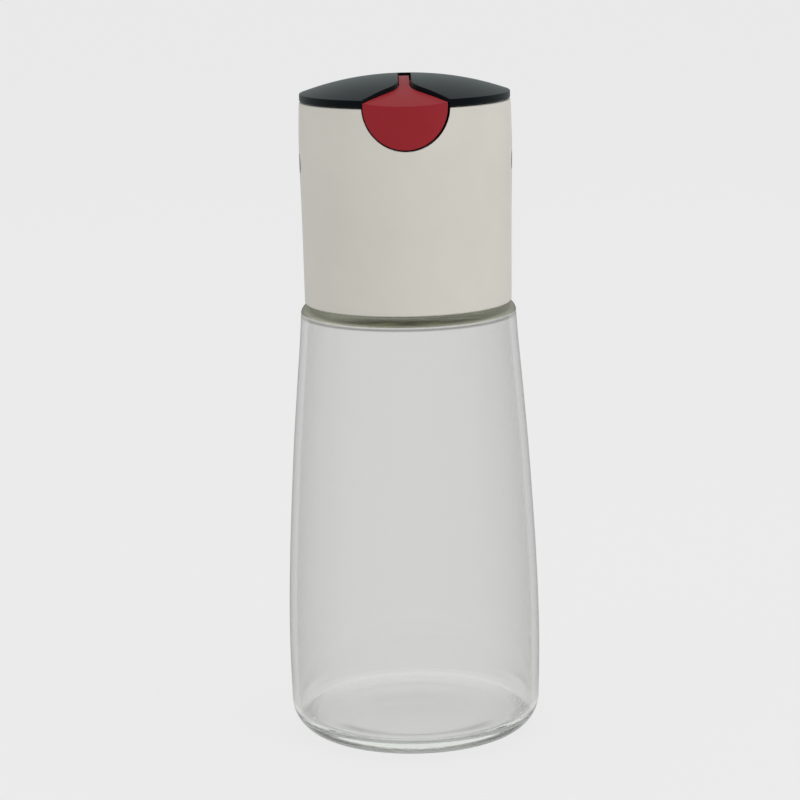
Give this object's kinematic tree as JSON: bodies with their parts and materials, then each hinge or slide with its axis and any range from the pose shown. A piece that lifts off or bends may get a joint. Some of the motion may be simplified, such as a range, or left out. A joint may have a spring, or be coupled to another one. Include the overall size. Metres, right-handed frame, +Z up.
{
  "type": "oil cruet",
  "caption": "Tapered clear glass oil cruet with a tall white screw cap, a dark domed top and a red pour flap that tips open.",
  "frame": {"origin": "centre of the foot's rest plane, under the bottle's axis", "axes": "+Z up along the bottle's axis, -Y towards the pour flap, +X to the right as seen from the front"},
  "size_m": [0.0726, 0.0726, 0.19],
  "materials": {
    "clear_glass": "clear, smooth, faint green-grey tint in the thick base",
    "warm_white_abs": "warm white, satin, moulded",
    "grey_abs": "mid grey, satin, moulded",
    "charcoal_abs": "charcoal, fine satin",
    "black_pp": "black, moulded",
    "natural_pp": "undyed polypropylene, milky with a slight yellow-green cast, moulded",
    "red_abs": "deep red, semi-gloss",
    "grey_silicone": "grey, soft matte",
    "stainless_pin": "turned stainless steel"
  },
  "bodies": {
    "bottle": {"glass_bottle": "clear_glass"},
    "gasket": {"neck_gasket": "grey_silicone"},
    "cap": {"screw_insert": "natural_pp", "cap_collar": "warm_white_abs", "top_cover": "charcoal_abs", "flap_hinge_pin": "stainless_pin", "pour_spout": "black_pp", "spout_gasket": "grey_silicone", "vent_gasket": "grey_silicone", "vent_tube": "black_pp"},
    "flap": {"pour_flap": "red_abs", "flap_seal": "grey_silicone", "flap_counterweight": "stainless_pin"},
    "catch_left": {"latch_tongue_left": "grey_abs"},
    "catch_right": {"latch_tongue_right": "grey_abs"}
  },
  "joints": [
    {"name": "cap_rise", "type": "slide", "parent": "bottle", "child": "gasket", "axis": [0, 0, 1], "range_m": [0, 0.006]},
    {"name": "cap_unscrew", "type": "hinge", "parent": "gasket", "child": "cap", "pos_m": [0, 0, 0.144], "axis": [0, 0, 1], "range_deg": [0, 359.9]},
    {"name": "flap_open", "type": "hinge", "parent": "cap", "child": "flap", "pos_m": [0, -0.001, 0.1859], "axis": [-1, 0, 0], "range_deg": [0, 60]},
    {"name": "catch_left_press", "type": "hinge", "parent": "cap", "child": "catch_left", "pos_m": [-0.0254, 0, 0.1485], "axis": [0, 1, 0], "range_deg": [0, 8], "stiffness_Nm_per_rad": 0.05},
    {"name": "catch_right_press", "type": "hinge", "parent": "cap", "child": "catch_right", "pos_m": [0.0254, 0, 0.1485], "axis": [0, -1, 0], "range_deg": [0, 8], "stiffness_Nm_per_rad": 0.05}
  ],
  "couplings": [
    {"joint": "cap_rise", "follows": "cap_unscrew", "m_per_rad": 0.00095493}
  ]
}
